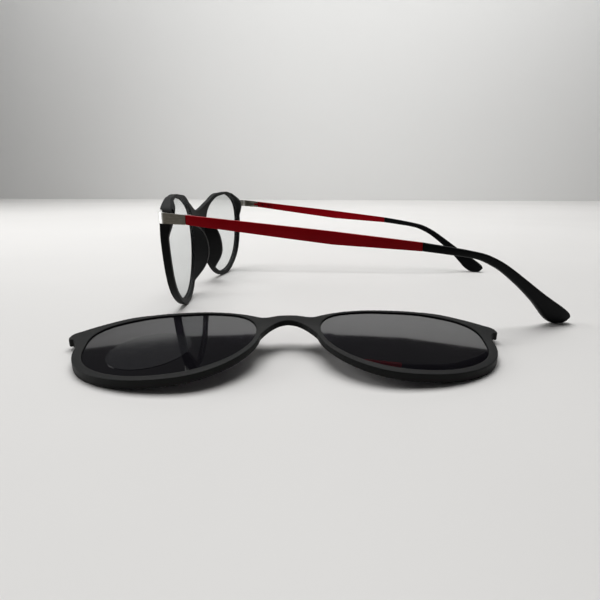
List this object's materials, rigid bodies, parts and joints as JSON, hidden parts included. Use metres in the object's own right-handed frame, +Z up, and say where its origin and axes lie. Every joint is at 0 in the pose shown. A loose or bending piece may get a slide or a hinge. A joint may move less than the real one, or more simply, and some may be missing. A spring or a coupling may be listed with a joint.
{
  "type": "eyeglasses with clip-on sunglass front",
  "caption": "Round eyeglasses with a matte dark front, red temples and dark sleeves on folding hinges, with a separate smoke-lens clip-on lying beside them.",
  "frame": {"origin": "on the table, in the middle of the set's bounding box", "axes": "the glasses face -X and their temples run back along +X, the wearer's left is -Y, where the clip-on lies face up, and +Z is up"},
  "size_m": [0.1663, 0.1911, 0.0454],
  "materials": {
    "front_plastic": "fine matte, soft edges",
    "clear_lens": "clear polished",
    "magnet": "plated",
    "endpiece_metal": "satin plated",
    "screw_steel": "plain steel",
    "temple_red": "satin with polished edges",
    "hinge_metal": "painted like the temple",
    "tip_plastic": "fine matte",
    "clip_plastic": "fine matte, soft edges",
    "sun_lens": "smoke grey, polished",
    "label": "clear blank film"
  },
  "bodies": {
    "glasses_front": {"front_frame": "front_plastic", "demo_lens_left": "clear_lens", "demo_lens_right": "clear_lens", "front_magnet_left": "magnet", "front_magnet_right": "magnet", "endpiece_left": "endpiece_metal", "endpiece_right": "endpiece_metal", "hinge_screw_left": "screw_steel", "hinge_screw_right": "screw_steel"},
    "left_temple": {"temple_left": "temple_red", "temple_hinge_left": "hinge_metal", "temple_screws_left": "screw_steel", "temple_tip_left": "tip_plastic"},
    "right_temple": {"temple_right": "temple_red", "temple_hinge_right": "hinge_metal", "temple_screws_right": "screw_steel", "temple_tip_right": "tip_plastic"},
    "clip_on": {"clip_frame": "clip_plastic", "clip_lens_left": "sun_lens", "clip_lens_right": "sun_lens", "clip_magnet_left": "magnet", "clip_magnet_right": "magnet", "lens_label": "label"}
  },
  "joints": [
    {"name": "left_fold", "type": "hinge", "parent": "glasses_front", "child": "left_temple", "pos_m": [-0.05196, -0.0418, 0.03755], "axis": [0, 0, 1], "range_deg": [0, 84]},
    {"name": "right_fold", "type": "hinge", "parent": "glasses_front", "child": "right_temple", "pos_m": [-0.05196, 0.0922, 0.03755], "axis": [0, 0, -1], "range_deg": [0, 78]},
    {"name": "clip_lift", "type": "slide", "parent": "glasses_front", "child": "clip_on", "axis": [0, -0.5, 0.866], "range_m": [0, 0.05]}
  ]
}
